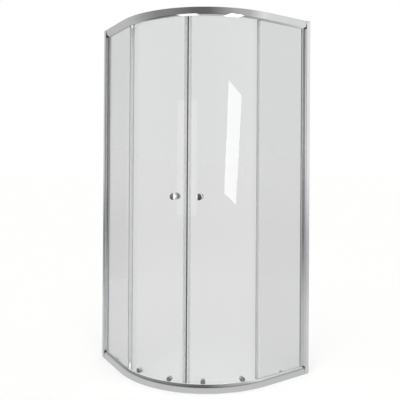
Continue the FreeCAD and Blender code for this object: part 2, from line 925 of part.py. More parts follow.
def round_head(body):
    """Rounds the two rims of the knob's head."""
    doc.recompute()
    turning, head_radius = body.Tip, size.knob_diameter.number / 2
    rims = [
        f"Edge{number}"
        for number, edge in enumerate(turning.Shape.Edges, 1)
        if hasattr(edge.Curve, "Radius") and abs(edge.Curve.Radius - head_radius) < same_radius
    ]
    fillet = body.newObject("PartDesign::Fillet", body.Label + "_fillet")
    fillet.Base = (turning, rims)
    bind(fillet, "Radius", size.knob_round)
    body.Tip = fillet


def make_knobs(side):
    name, angle, z = side_names[side], size.knob_angle, size.knob_height
    outer_foot = door_inset - size.washer_thick
    inner_foot = door_back + size.bore_gap + size.washer_thick
    outer = turned(f"outer_knob_{name}", side, angle, z, knob_corners(outer_foot, -1))
    inner = turned(f"inner_knob_{name}", side, angle, z, knob_corners(inner_foot, 1))
    for knob in (outer, inner):
        round_head(knob)
    stud = size.stud_diameter / 2
    start, end = outer_foot - size.stud_depth, inner_foot + size.stud_depth
    stud_corners = [(start, 0), (end, 0), (end, stud), (start, stud)]
    bore = size.stud_diameter + 2 * size.fit_gap
    washers = [
        turned(f"knob_washer_{name}_{face}", side, angle, z, ring(foot, far, size.knob_base_diameter, bore))
        for face, foot, far in (
            ("front", outer_foot, outer_foot + size.washer_thick),
            ("back", inner_foot - size.washer_thick, inner_foot),
        )
    ]
    return [
        outer,
        inner,
        turned(f"knob_stud_{name}", side, angle, z, stud_corners),
        group(f"knob_washers_{name}", washers),
    ]


def make_magnet_seal(side):
    """The strip on the door's leading edge: a pocket for the magnet, a web and two legs."""
    name = side_names[side]
    gap = size.bore_gap
    nose, skin = size.meeting_gap / 2, size.magnet_skin
    mid = door_inset + size.glass_thick / 2
    low, high = size.door_bottom, size.height - size.door_top_gap
    magnet_front, magnet_back = mid - size.magnet_depth / 2, mid + size.magnet_depth / 2
    pocket_end = nose + skin + size.magnet_width + gap
    clip = clip_corners(door_inset, door_back, size.magnet_leg, pane_edge - nose)
    seal = strip_body(f"magnet_seal_{name}_blank", side, pane_edge_angle(), clip, low, high)
    pocket = [(magnet_front - gap, nose + skin), (magnet_back + gap, nose + skin)]
    pocket += [(magnet_back + gap, pocket_end), (magnet_front - gap, pocket_end)]
    bar = [(magnet_front, nose + skin + gap / 2), (magnet_back, nose + skin + gap / 2)]
    bar += [(magnet_back, pocket_end - gap / 2), (magnet_front, pocket_end - gap / 2)]
    tool = strip_body(f"magnet_pocket_{name}", side, 0, pocket, low, high)
    strip = strip_body(f"magnet_strip_{name}", side, 0, bar, low, high)
    return [cut(f"magnet_seal_{name}", seal, [tool]), strip]


def pane_edge_angle():
    return pane_edge / (size.corner_radius - door_inset) * degrees_per_radian


def make_door_edge_seal(side):
    """On the door's rear edge: its fin closes against the fixed panel's fin."""
    label = f"door_edge_seal_{side_names[side]}"
    clip = clip_corners(door_inset, door_back, size.edge_seal_leg, size.seal_web)
    flipped = [(inset, -1 * offset) for inset, offset in clip]
    low, high = size.door_bottom, size.height - size.door_top_gap
    body = strip_body(label, side, size.door_edge_angle, flipped, low, high)
    foot = door_inset - size.bore_gap - size.fit_gap
    tip = foot - size.door_fin_length
    fin = [
        (foot, size.seal_web),
        (tip, size.seal_web - size.fin_lean),
        (tip, size.seal_web - size.fin_lean - size.seal_wall),
        (foot, size.seal_web - size.seal_wall),
    ]
    add_strip(body, side, fin, size.fin_foot, fin_head)
    return body


# Door stops --------------------------------------------------------------------------


def outer_wheel_run():
    """How far along the straight run the outer wheel's axle ends when the door is open.

    The two axles stay one chord apart. The inner axle is still on the arc, the door's
    travel away from where it started, and the outer one is on the straight run."""
    radius = size.corner_radius - wheel_inset
    between = (size.outer_roller_angle - size.inner_roller_angle) / 2
    chord = 2 * radius * sine(between)
    travel_angle = size.door_travel / radius * degrees_per_radian
    to_tangent = quarter_half - size.inner_roller_angle - travel_angle
    along, across = radius * sine(to_tangent), radius * (1 - cosine(to_tangent))
    return root(chord * chord - across * across) - along


def make_door_stops():
    """Rubber blocks on the tracks, which the outer wheels meet when a door is open."""
    stops = []
    near = straight - outer_wheel_run() - wheel_radius - size.stop_gap
    inset = (channel_back + size.rail_wall + size.meeting_gap, rail_depth - size.meeting_gap)
    levels = {
        "bottom": (size.track_height, size.track_height + size.stop_height),
        "top": (size.height - hook_top, size.height - hook_top + size.stop_height),
    }
    for side in (left, right):
        for level, z in levels.items():
            label = f"{level}_stop_{side_names[side]}"
            stops.append(wall_block(label, side, (near - size.stop_length, near), inset, z))
    return group("door_stops", stops)


# The whole enclosure -----------------------------------------------------------------


def make_side(side):
    nodes = [
        make_wall_profile(side),
        make_jamb(side),
        make_fixed_glass(side),
        make_rail_gaskets(side),
        make_jamb_gasket(side),
        make_panel_edge_seal(side),
        make_door_glass(side),
        make_door_edge_seal(side),
    ]
    return nodes + make_magnet_seal(side) + make_knobs(side) + make_roller_sets(side) + make_wheels(side)


def check(nodes):
    for item in doc.Objects:
        if "Invalid" in item.State or "Error" in item.State:
            raise RuntimeError(f"{item.Label} failed: {item.State}")
    for node in nodes:
        if node.Shape.isNull() or not node.Shape.isValid() or not node.Shape.Solids:
            raise RuntimeError(f"{node.Label} has no valid solid")


def export(nodes):
    os.makedirs("parts", exist_ok=True)
    for node in nodes:
        node.Shape.exportStep(f"parts/{node.Label}.step")
        solids = len(node.Shape.Solids)
        print(f"{node.Label}: {solids} solid(s), {node.Shape.Volume / 1000:.2f} cm3")


parts = make_rails() + make_channel_covers()
for side in (left, right):
    parts += make_side(side)
parts += [make_corner_blocks(), make_rail_screws(), *make_adjusting_screws()]
parts += [make_end_caps(), make_door_stops()]
doc.recompute()
check(parts)
export(parts)
print(f"{len(parts)} nodes")
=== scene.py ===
import json
import math

import bmesh
import bpy
from mathutils import Matrix, Vector


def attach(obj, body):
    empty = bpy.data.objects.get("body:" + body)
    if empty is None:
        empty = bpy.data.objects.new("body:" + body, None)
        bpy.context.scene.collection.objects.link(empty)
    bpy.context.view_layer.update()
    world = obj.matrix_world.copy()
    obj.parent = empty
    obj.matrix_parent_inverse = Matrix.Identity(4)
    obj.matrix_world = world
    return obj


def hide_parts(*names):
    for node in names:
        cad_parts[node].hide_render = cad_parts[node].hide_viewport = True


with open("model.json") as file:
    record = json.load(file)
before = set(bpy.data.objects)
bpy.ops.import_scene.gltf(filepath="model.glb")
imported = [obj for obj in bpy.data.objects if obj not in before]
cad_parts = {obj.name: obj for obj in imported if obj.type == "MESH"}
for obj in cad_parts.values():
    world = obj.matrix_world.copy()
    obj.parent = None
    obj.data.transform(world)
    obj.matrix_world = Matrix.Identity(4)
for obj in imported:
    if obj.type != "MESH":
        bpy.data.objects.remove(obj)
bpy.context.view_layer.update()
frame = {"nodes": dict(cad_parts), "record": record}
nodes = frame["nodes"]
mm = 0.001

# The whole enclosure, in the CAD part's sizes. "Inset" is the distance inward from the outer
# face, and "reach" the distance from the wall. The doors meet on the diagonal
enclosure = {
    "width": 820,
    "height": 1850,
    "cornerRadius": 550,
    "diagonal": 225,  # from the arc's centre to where the doors meet, in degrees
    "arcSteps": 120,  # pieces in the quarter turn of everything that is bent
    "roundingSteps": 3,  # points that round each corner of a section
}
sides = {"left": -1, "right": 1}
half = enclosure["width"] / 2
arcCentre = enclosure["cornerRadius"] - half
straight = enclosure["width"] - enclosure["cornerRadius"]


# The direction of a place on the arc, from its angle to the diagonal
def arcDirection(side, angle):
    return math.radians(enclosure["diagonal"] + sides[side] * angle)


def arcPlace(side, angle, inset, height):
    turn = arcDirection(side, angle)
    radius = enclosure["cornerRadius"] - inset
    x = arcCentre + radius * math.cos(turn)
    y = arcCentre + radius * math.sin(turn)
    return Vector((x, y, height)) * mm


def planLength():
    return 2 * straight + enclosure["cornerRadius"] * math.pi / 2


# Where a place on the arc lies along the plan, by its angle to the diagonal
def arcLength(side, angle):
    return straight + enclosure["cornerRadius"] * math.radians(45 + sides[side] * angle)


# An sRGB hex colour as the linear numbers that a shader reads
def linear(hexColour):
    channels = []
    for start in (0, 2, 4):
        value = int(hexColour[start:start + 2], 16) / 255
        channels.append(value / 12.92 if value <= 0.04045 else ((value + 0.055) / 1.055) ** 2.4)
    return (*channels, 1)


# Adds a node. Settings name its properties or sockets, links its inputs' sources
def addNode(tree, kind, settings=None, links=None):
    node = tree.nodes.new(kind)
    for name, value in (settings or {}).items():
        if isinstance(name, str) and hasattr(node, name):
            setattr(node, name, value)
        else:
            node.inputs[name].default_value = value
    for name, source in (links or {}).items():
        tree.links.new(source, node.inputs[name])
    return node


def newMaterial(name):
    material = bpy.data.materials.new(name)
    material.use_nodes = True
    tree = material.node_tree
    tree.nodes.clear()
    return material, tree


def finish(tree, surface):
    addNode(tree, "ShaderNodeOutputMaterial", links={"Surface": surface})


# Bright metal: fine lines run along one axis, and small changes of roughness soften the mirror.
# Where a Mix node mixes colours, 6 and 7 are its two inputs and 2 its output
def extrudedMetal(name, look):
    material, tree = newMaterial(name)
    place = addNode(tree, "ShaderNodeTexCoord")
    scale = 1 / (look["lineSpacing"] * mm)
    squeeze = [scale, scale, scale]
    squeeze["xyz".index(look["along"])] = scale * look["lineStretch"]
    mapping = addNode(
        tree, "ShaderNodeMapping", {"Scale": squeeze}, {"Vector": place.outputs["Object"]}
    )
    lines = addNode(
        tree,
        "ShaderNodeTexNoise",
        {"Scale": 1.0, "Detail": 3.0},
        {"Vector": mapping.outputs["Vector"]},
    )
    clouds = addNode(
        tree,
        "ShaderNodeTexNoise",
        {"Scale": 1 / (look["cloudSize"] * mm), "Detail": 2.0},
        {"Vector": place.outputs["Object"]},
    )
    rough = addNode(
        tree,
        "ShaderNodeMapRange",
        {
            "To Min": look["roughness"] - look["roughSpread"],
            "To Max": look["roughness"] + look["roughSpread"],
        },
        {"Value": clouds.outputs["Fac"]},
    )
    tone = addNode(
        tree,
        "ShaderNodeMix",
        {"data_type": "RGBA", 6: linear(look["dark"]), 7: linear(look["light"])},
        {0: clouds.outputs["Fac"]},
    )
    rounding = addNode(
        tree, "ShaderNodeBevel", {"samples": look["arrisSamples"], "Radius": look["arris"] * mm}
    )
    bump = addNode(
        tree,
        "ShaderNodeBump",
        {"Strength": look["lineStrength"], "Distance": look["lineDepth"] * mm},
        {"Height": lines.outputs["Fac"], "Normal": rounding.outputs["Normal"]},
    )
    shader = addNode(
        tree,
        "ShaderNodeBsdfPrincipled",
        {"Metallic": 1.0},
        {
            "Base Color": tone.outputs[2],
            "Roughness": rough.outputs["Result"],
            "Normal": bump.outputs["Normal"],
        },
    )
    finish(tree, shader.outputs["BSDF"])
    return material


# Toughened float glass: clear with a tint of its own, and shadow rays go straight through it, so
# that it casts almost no shadow
def clearGlass(name, look):
    material, tree = newMaterial(name)
    place = addNode(tree, "ShaderNodeTexCoord")
    rollers = addNode(
        tree,
        "ShaderNodeTexNoise",
        {"Scale": 1 / (look["waveLength"] * mm), "Detail": 1.0},
        {"Vector": place.outputs["Object"]},
    )
    waves = addNode(
        tree,
        "ShaderNodeBump",
        {"Strength": look["waveStrength"], "Distance": look["waveDepth"] * mm},
        {"Height": rollers.outputs["Fac"]},
    )
    film = addNode(
        tree,
        "ShaderNodeMapRange",
        {"To Min": 0.0, "To Max": look["roughness"]},
        {"Value": rollers.outputs["Fac"]},
    )
    shader = addNode(
        tree,
        "ShaderNodeBsdfPrincipled",
        {
            "Base Color": linear(look["tint"]),
            "IOR": look["ior"],
            "Transmission Weight": 1.0,
        },
        {"Roughness": film.outputs["Result"], "Normal": waves.outputs["Normal"]},
    )
    path = addNode(tree, "ShaderNodeLightPath")
    passing = addNode(tree, "ShaderNodeBsdfTransparent", {"Color": linear(look["shadowTint"])})
    mix = addNode(
        tree,
        "ShaderNodeMixShader",
        links={
            0: path.outputs["Is Shadow Ray"],
            1: shader.outputs["BSDF"],
            2: passing.outputs["BSDF"],
        },
    )
    finish(tree, mix.outputs["Shader"])
    return material


# Moulded or extruded plastic and rubber: an even body colour, a faint mottle and the fine grain
# that the die leaves
def plastic(name, look):
    material, tree = newMaterial(name)
    place = addNode(tree, "ShaderNodeTexCoord")
    mottle = addNode(
        tree,
        "ShaderNodeTexNoise",
        {"Scale": 1 / (look["mottleSize"] * mm), "Detail": 3.0},
        {"Vector": place.outputs["Object"]},
    )
    grain = addNode(
        tree,
        "ShaderNodeTexNoise",
        {"Scale": 1 / (look["grainSize"] * mm), "Detail": 2.0},
        {"Vector": place.outputs["Object"]},
    )
    tone = addNode(
        tree,
        "ShaderNodeMix",
        {"data_type": "RGBA", 6: linear(look["dark"]), 7: linear(look["light"])},
        {0: mottle.outputs["Fac"]},
    )
    bump = addNode(
        tree,
        "ShaderNodeBump",
        {"Strength": look["grainStrength"], "Distance": look["grainDepth"] * mm},
        {"Height": grain.outputs["Fac"]},
    )
    rough = addNode(
        tree,
        "ShaderNodeMapRange",
        {
            "To Min": look["roughness"] - look["roughSpread"],
            "To Max": look["roughness"] + look["roughSpread"],
        },
        {"Value": mottle.outputs["Fac"]},
    )
    shader = addNode(
        tree,
        "ShaderNodeBsdfPrincipled",
        {"IOR": look["ior"]},
        {
            "Base Color": tone.outputs[2],
            "Roughness": rough.outputs["Result"],
            "Normal": bump.outputs["Normal"],
        },
    )
    finish(tree, shader.outputs["BSDF"])
    return material


# Soft clear extruded vinyl: a thin milky skin that the eye mostly looks through, denser where it
# turns edge on
def clearPvc(name, look):
    material, tree = newMaterial(name)
    place = addNode(tree, "ShaderNodeTexCoord")
    drawn = addNode(
        tree,
        "ShaderNodeMapping",
        {"Scale": (1, 1, look["streakStretch"])},
        {"Vector": place.outputs["Object"]},
    )
    streaks = addNode(
        tree,
        "ShaderNodeTexNoise",
        {"Scale": 1 / (look["streakWidth"] * mm), "Detail": 2.0},
        {"Vector": drawn.outputs["Vector"]},
    )
    turn = addNode(tree, "ShaderNodeLayerWeight", {"Blend": look["edgeBlend"]})
    milk = addNode(
        tree,
        "ShaderNodeMapRange",
        {"To Min": look["faceDensity"], "To Max": look["edgeDensity"]},
        {"Value": turn.outputs["Facing"]},
    )
    uneven = addNode(
        tree,
        "ShaderNodeMapRange",
        {"To Min": 1 - look["streakSpread"], "To Max": 1 + look["streakSpread"]},
        {"Value": streaks.outputs["Fac"]},
    )
    density = addNode(
        tree,
        "ShaderNodeMath",
        {"operation": "MULTIPLY"},
        {0: milk.outputs["Result"], 1: uneven.outputs["Result"]},
    )
    shader = addNode(
        tree,
        "ShaderNodeBsdfPrincipled",
        {"Base Color": linear(look["body"]), "Roughness": look["roughness"], "IOR": look["ior"]},
        {"Alpha": density.outputs[0]},
    )
    finish(tree, shader.outputs["BSDF"])
    return material


aluminiumLook = {
    "dark": "DFE0E1",
    "light": "E5E6E7",
    "roughness": 0.09,
    "roughSpread": 0.03,
    "cloudSize": 90,
    "lineSpacing": 0.9,
    "lineStretch": 0.01,
    "lineDepth": 0.01,
    "lineStrength": 0.25,
    "arris": 0.5,
    "arrisSamples": 6,
    "along": "z",  # the axis that the fine lines follow, on the rails too
}
uprightLook = {**aluminiumLook, "dark": "EAEBEC", "light": "F0F1F2", "roughness": 0.24}
steelLook = {
    **aluminiumLook,
    "dark": "A9A9A8",
    "light": "B8B8B6",
    "roughness": 0.28,
    "lineSpacing": 0.3,
}
chromeLook = {
    **aluminiumLook,
    "dark": "D6D7D8",
    "light": "DEDFE0",
    "roughness": 0.06,
    "roughSpread": 0.02,
    "lineStrength": 0.03,
}
glassLook = {
    "tint": "D5D6D6",
    "shadowTint": "F6F7F7",
    "ior": 1.5,
    "roughness": 0.012,
    "waveLength": 260,
    "waveStrength": 0.08,
    "waveDepth": 0.4,
}
# Painted light: the doors' glass has a paler tint than the fixed panes' glass, so that the doors
# read brighter
litDoorGlassLook = {**glassLook, "tint": "DFE0E0"}
# The edge glass is grey-green. The fixed panes' edges are deepened with painted shade, and the
# doors' edges are lightened with painted light
shadedEdgeLook = {**glassLook, "tint": "737A77", "roughness": 0.35, "waveLength": 12}
litDoorEdgeLook = {**shadedEdgeLook, "tint": "C4CAC7"}
pvcLook = {
    "body": "BCBDBD",
    "ior": 1.53,
    "roughness": 0.2,
    "faceDensity": 0.11,
    "edgeDensity": 0.5,
    "edgeBlend": 0.35,
    "streakWidth": 2,
    "streakStretch": 0.001,
    "streakSpread": 0.1,  # how far the milkiness strays to each side
}
# Painted light: the edge seals' fins get a paler body than the clear PVC, which lifts the shade on
# them where they turn edge on. Their higher density is their milkiness
paleLitFinLook = {**pvcLook, "body": "F0F1F1", "faceDensity": 0.4, "edgeDensity": 0.8, "edgeBlend": 0.5}
mouldedLook = {
    "dark": "DDDEDC",
    "light": "E8E9E7",
    "roughness": 0.4,
    "roughSpread": 0.05,
    "ior": 1.5,
    "mottleSize": 25,
    "grainSize": 1.2,
    "grainDepth": 0.05,
    "grainStrength": 0.2,
}
rubberLook = {**mouldedLook, "dark": "161718", "light": "1F2021", "roughness": 0.5}
gasketLook = {**rubberLook, "dark": "A3A5A6", "light": "B2B4B5"}
# Painted light: the black rubber door stops are painted pale grey, so that they don't show dark in
# the shadow where they sit
paleLitBufferLook = {**rubberLook, "dark": "C2C3C4", "light": "CDCECF"}
greyNylonLook = {**mouldedLook, "dark": "7E8081", "light": "8E9091"}

materials = {
    "polished_aluminium": extrudedMetal("brightAnodisedAluminium", aluminiumLook),
    "clear_glass": clearGlass("toughenedFloatGlass", glassLook),
    "clear_pvc": clearPvc("extrudedClearPvc", pvcLook),
    "magnet_rubber": plastic("flexibleMagnetRubber", rubberLook),
    "grey_gasket": plastic("greyGlazingRubber", gasketLook),
    "chromed_metal": extrudedMetal("mirrorChromePlate", chromeLook),
    "stainless_steel": extrudedMetal("turnedStainlessSteel", steelLook),
    "white_nylon": plastic("mouldedWhiteNylon", mouldedLook),
    "grey_nylon": plastic("mouldedGreyAcetal", greyNylonLook),
    "black_rubber": plastic("bufferRubberPaintedLight", paleLitBufferLook),
}
litDoorGlass = clearGlass("doorGlassPaintedLight", litDoorGlassLook)
shadedGlassEdge = clearGlass("glassEdgePaintedShade", shadedEdgeLook)
litDoorGlassEdge = clearGlass("doorGlassEdgePaintedLight", litDoorEdgeLook)
satinUpright = extrudedMetal("satinAnodisedAluminium", uprightLook)
paleLitFin = clearPvc("milkyPvcPaintedLight", paleLitFinLook)

slotOfNode = {part["node"]: part["material_slot"] for part in frame["record"]["subparts"]}
for name, node in nodes.items():
    for slot in node.material_slots:
        slot.material = materials[slotOfNode[name]]
        if name.startswith(("wall_profile", "jamb_left", "jamb_right")):
            slot.material = satinUpright
        # The edge seals take the paler PVC, with painted light on their fins
        if name.startswith(("panel_edge_seal", "door_edge_seal")):
            slot.material = paleLitFin
print("materials:", len(bpy.data.materials))


def curveObject(name, points, closed):
    curve = bpy.data.curves.new(name, "CURVE")
    curve.dimensions = "3D"
    spline = curve.splines.new("POLY")
    spline.points.add(len(points) - 1)
    for point, place in zip(spline.points, points):
        point.co = (*(Vector(place) * mm), 1)
    spline.use_cyclic_u = closed
    item = bpy.data.objects.new(name, curve)
    bpy.context.scene.collection.objects.link(item)
    return item


# Bends the plan's corner, keeps a stretch of it and draws a section along that. In the node that
# trims, 4 and 5 are the lengths where the stretch starts and ends
def makeSweepTree():
    tree = bpy.data.node_groups.new("sweepAlongPlan", "GeometryNodeTree")
    face = tree.interface
    face.new_socket("Plan", in_out="INPUT", socket_type="NodeSocketGeometry")
    face.new_socket("Section", in_out="INPUT", socket_type="NodeSocketObject")
    for name in ("Corner Radius", "Start", "End", "Rounding"):
        face.new_socket(name, in_out="INPUT", socket_type="NodeSocketFloat")
    face.new_socket("Corner Steps", in_out="INPUT", socket_type="NodeSocketInt")
    face.new_socket("Material", in_out="INPUT", socket_type="NodeSocketMaterial")
    face.new_socket("Piece", in_out="OUTPUT", socket_type="NodeSocketGeometry")
    given = addNode(tree, "NodeGroupInput").outputs
    bend = addNode(
        tree,
        "GeometryNodeFilletCurve",
        {"mode": "POLY", "Limit Radius": True},
        {"Curve": given["Plan"], "Radius": given["Corner Radius"], "Count": given["Corner Steps"]},
    )
    stretch = addNode(
        tree,
        "GeometryNodeTrimCurve",
        {"mode": "LENGTH"},
        {"Curve": bend.outputs["Curve"], 4: given["Start"], 5: given["End"]},
    )
    level = addNode(
        tree, "GeometryNodeSetCurveNormal", {"mode": "Z_UP"}, {"Curve": stretch.outputs["Curve"]}
    )
    section = addNode(tree, "GeometryNodeObjectInfo", links={"Object": given["Section"]})
    rounded = addNode(
        tree,
        "GeometryNodeFilletCurve",
        {"mode": "POLY", "Count": enclosure["roundingSteps"], "Limit Radius": True},
        {"Curve": section.outputs["Geometry"], "Radius": given["Rounding"]},
    )
    swept = addNode(
        tree,
        "GeometryNodeCurveToMesh",
        {"Fill Caps": True},
        {"Curve": level.outputs["Curve"], "Profile Curve": rounded.outputs["Curve"]},
    )
    real = addNode(
        tree, "GeometryNodeRealizeInstances", links={"Geometry": swept.outputs["Mesh"]}
    )
    painted = addNode(
        tree,
        "GeometryNodeSetMaterial",
        links={"Geometry": real.outputs["Geometry"], "Material": given["Material"]},
    )
    addNode(tree, "NodeGroupOutput", links={"Piece": painted.outputs["Geometry"]})
    return tree


sweepTree = makeSweepTree()
planPoints = [(-half, half, 0), (-half, -half, 0), (half, -half, 0)]


# The evaluated object's mesh, with the helper object removed
def meshFrom(item):
    bpy.context.view_layer.update()
    graph = bpy.context.evaluated_depsgraph_get()
    mesh = bpy.data.meshes.new_from_object(item.evaluated_get(graph))
    bpy.data.objects.remove(item)
    return mesh


meshCare = {
    "mergeWithin": 0.01,
    "sharpAngle": 30,
}


# Merges doubled points, turns the faces outward and smooths all but the sharp edges
def cleanMesh(mesh):
    work = bmesh.new()
    work.from_mesh(mesh)
    bmesh.ops.remove_doubles(work, verts=work.verts, dist=meshCare["mergeWithin"] * mm)
    bmesh.ops.recalc_face_normals(work, faces=work.faces)
    for face in work.faces:
        face.smooth = True
    limit = math.radians(meshCare["sharpAngle"])
    for edge in work.edges:
        faces = edge.link_faces
        edge.smooth = len(faces) == 2 and faces[0].normal.angle(faces[1].normal, 0) < limit
    work.to_mesh(mesh)
    work.free()
    return mesh


def addPiece(name, mesh, body, replaced):
    mesh.name = name
    piece = bpy.data.objects.new(name, mesh)
    bpy.context.scene.collection.objects.link(piece)
    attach(piece, body)
    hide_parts(*replaced)


# A section, given as (inset, height), drawn along the plan from one length to another
def sweep(section, start, end, slot, rounding):
    plan = curveObject("plan", planPoints, False)
    outline = curveObject("section", [(-inset, -height, 0) for inset, height in section], True)
    modifier = plan.modifiers.new("sweep", "NODES")
    modifier.node_group = sweepTree
    values = {
        "Section": outline,
        "Corner Radius": enclosure["cornerRadius"] * mm,
        "Corner Steps": enclosure["arcSteps"],
        "Start": start * mm,
        "End": end * mm,
        "Rounding": rounding * mm,
        "Material": materials[slot],
    }
    for socket in sweepTree.interface.items_tree:
        if socket.name in values:
            modifier[socket.identifier] = values[socket.name]
    mesh = meshFrom(plan)
    bpy.data.objects.remove(outline)
    return cleanMesh(mesh)


# The points of a smooth bend that starts and ends this far from a corner
def softCorner(corner, before, after, reach, steps=6):
    corner, before, after = Vector(corner), Vector(before), Vector(after)
    start = corner + (before - corner).normalized() * reach
    end = corner + (after - corner).normalized() * reach
    points = []
    for step in range(steps + 1):
        part = step / steps
        points.append(tuple(start.lerp(corner, part).lerp(corner.lerp(end, part), part)))
    return points


def upsideDown(section):
    return [(inset, enclosure["height"] - height) for inset, height in section]


rail = {
    "height": 40,
    "wall": 1.5,
    "base": 2,
    "kneeInset": 5,
    "kneeHeight": 29,
    "lipInset": 11.5,
    "channelFront": 14.45,
    "channelBack": 22.55,
    "depth": 35.95,
    "trackHeight": 30,
    "hookTop": 32.5,
    "hookFoot": 35,
    "endReach": 25,
    "rounding": 0.5,
    "kneeReach": 5,  # how far to each side the outer face's bend reaches
}


# The wall round the glass channel: up the inside, over the lip and down the outer face
def railShell():
    return [
        (rail["channelBack"], rail["base"]),
        (rail["wall"], rail["base"]),
        (rail["kneeInset"] + rail["wall"], rail["kneeHeight"]),
        (rail["lipInset"] + rail["wall"], rail["height"]),
        (rail["lipInset"], rail["height"]),
        *softCorner(
            (rail["kneeInset"], rail["kneeHeight"]),
            (rail["lipInset"], rail["height"]),
            (0, 0),
            rail["kneeReach"],
        ),
        (0, 0),
    ]


def makeRails():
    start, end = rail["endReach"], planLength() - rail["endReach"]
    web = rail["channelBack"] + rail["wall"]
    track = [
        (rail["depth"], 0),
        (rail["depth"], rail["trackHeight"]),
        (rail["channelBack"], rail["trackHeight"]),
    ]
    hook = [
        (rail["depth"], 0),
        (rail["depth"], rail["base"]),
        (web, rail["base"]),
        (web, rail["hookTop"]),
        (rail["depth"], rail["hookTop"]),
        (rail["depth"], rail["hookFoot"]),
        (rail["channelBack"], rail["hookFoot"]),
    ]
    sections = {
        "bottom_rail": track + railShell(),
        "top_rail": upsideDown(hook + railShell()),
    }
    for name, section in sections.items():
        mesh = sweep(section, start, end, "polished_aluminium", rail["rounding"])
        addPiece(name + "_extrusion", mesh, "root", [name])


# Gives the narrow faces round a bent pane their own material
def paintEdges(mesh, material):
    mesh.materials.append(material)
    for face in mesh.polygons:
        fromCentre = face.center.xy - Vector((arcCentre, arcCentre)) * mm
        across = Vector((min(fromCentre.x, 0), min(fromCentre.y, 0)))
        if fromCentre.x > 0:
            across = Vector((0, 1))
        elif fromCentre.y > 0:
            across = Vector((1, 0))
        if abs(face.normal.xy.dot(across.normalized())) < glazing["squareOn"]:
            face.material_index = 1


glazing = {
    "fixedInset": 16,
    "thickness": 5,
    "foot": 3.5,
    "wallReach": 34.5,
    "freeEdge": 39.3,
    "seamed": 0.4,
    "doorInset": 41.45,
    "doorFoot": 10,
    "doorTop": 1846,
    "doorLead": 0.868,
    "doorRear": 40.6,
    "rollerHole": 8,
    "knobHole": 10,
    "holeSides": 40,
    "drillLength": 40,
    "squareOn": 0.9,  # a face that looks straighter than this through the pane isn't an edge
}
doorFittings = {
    "rollerAngles": (9.5, 31.2),
    "rollerHeights": (42.8, 1830.3),
    "knobAngle": 6.9,
    "knobHeight": 938,
}


def paneSection(inset, foot, top):
    back = inset + glazing["thickness"]
    return [(inset, foot), (back, foot), (back, top), (inset, top)]


# Where a fixed pane starts and ends along the plan
def fixedSpan(side):
    edge = arcLength(side, glazing["freeEdge"])
    wallEnd = glazing["wallReach"] if side == "left" else planLength() - glazing["wallReach"]
    return sorted((edge, wallEnd))


def makeFixedGlass():
    top = enclosure["height"] - glazing["foot"]
    section = paneSection(glazing["fixedInset"], glazing["foot"], top)
    for side in sides:
        mesh = sweep(section, *fixedSpan(side), "clear_glass", glazing["seamed"])
        paintEdges(mesh, shadedGlassEdge)
        addPiece("fixed_pane_" + side, mesh, "root", ["fixed_glass_" + side])


# Turns Z to point outward at a place on the arc, so that round pieces can stand there
def radialTurn(side, angle, height, inset):
    turn = arcDirection(side, angle)
    outward = Vector((math.cos(turn), math.sin(turn), 0))
    aim = outward.to_track_quat("Z", "Y").to_matrix().to_4x4()
    return Matrix.Translation(arcPlace(side, angle, inset, height)) @ aim


# Drills round holes through a pane: each hole is (turn, diameter)
def cutHoles(mesh, holes):
    tools = bmesh.new()
    for turn, diameter in holes:
        bmesh.ops.create_cone(
            tools,
            cap_ends=True,
            segments=glazing["holeSides"],
            radius1=diameter / 2 * mm,
            radius2=diameter / 2 * mm,
            depth=glazing["drillLength"] * mm,
            matrix=turn,
        )
    toolMesh = bpy.data.meshes.new("drills")
    tools.to_mesh(toolMesh)
    tools.free()
    toolMesh.materials.append(materials["clear_glass"])
    drills = bpy.data.objects.new("drills", toolMesh)
    pane = bpy.data.objects.new("pane", mesh)
    for item in (drills, pane):
        bpy.context.scene.collection.objects.link(item)
    cut = pane.modifiers.new("holes", "BOOLEAN")
    cut.operation, cut.solver, cut.object = "DIFFERENCE", "EXACT", drills
    drilled = meshFrom(pane)
    bpy.data.objects.remove(drills)
    return cleanMesh(drilled)


def makeDoorGlass():
    section = paneSection(glazing["doorInset"], glazing["doorFoot"], glazing["doorTop"])
    middle = glazing["doorInset"] + glazing["thickness"] / 2
    for side in sides:
        lead, rear = arcLength(side, glazing["doorLead"]), arcLength(side, glazing["doorRear"])
        mesh = sweep(section, min(lead, rear), max(lead, rear), "clear_glass", glazing["seamed"])
        holes = [
            (radialTurn(side, angle, height, middle), glazing["rollerHole"])
            for angle in doorFittings["rollerAngles"]
            for height in doorFittings["rollerHeights"]
        ]
        knob = radialTurn(side, doorFittings["knobAngle"], doorFittings["knobHeight"], middle)
        mesh = cutHoles(mesh, holes + [(knob, glazing["knobHole"])])
        mesh.materials[0] = litDoorGlass
        paintEdges(mesh, litDoorGlassEdge)
        addPiece("door_pane_" + side, mesh, "door_" + side, ["door_glass_" + side])


trim = {
    "gasketGap": 0.05,
    "lipTop": 41.6,
    "coverFront": 13.3,
    "coverBack": 22.25,
    "coverTop": 38,
    "coverWall": 1.5,
    "coverReach": 39.153,
    "rounding": 0.35,
}


def gasketSection():
    front = glazing["fixedInset"] - trim["gasketGap"]
    back = glazing["fixedInset"] + glazing["thickness"] + trim["gasketGap"]
    return [
        (rail["channelFront"], rail["base"]),
        (rail["channelBack"], rail["base"]),
        (rail["channelBack"], rail["trackHeight"]),
        (back, rail["trackHeight"]),
        (back, glazing["foot"]),
        (front, glazing["foot"]),
        (front, trim["lipTop"]),
        (rail["lipInset"], trim["lipTop"]),
        (rail["lipInset"], rail["height"]),
        (rail["channelFront"], rail["height"]),
    ]


def coverSection():
    outer, inner = trim["coverFront"], trim["coverBack"]
    top, wall = trim["coverTop"], trim["coverWall"]
    return [
        (outer, rail["base"]),
        (outer + wall, rail["base"]),
        (outer + wall, top - wall),
        (inner - wall, top - wall),
        (inner - wall, rail["base"]),
        (inner, rail["base"]),
        (inner, top),
        (outer, top),
    ]


# Several meshes as one
def joined(meshes):
    whole = bmesh.new()
    for mesh in meshes:
        whole.from_mesh(mesh)
    result = meshes[0].copy()
    whole.to_mesh(result)
    whole.free()
    return result


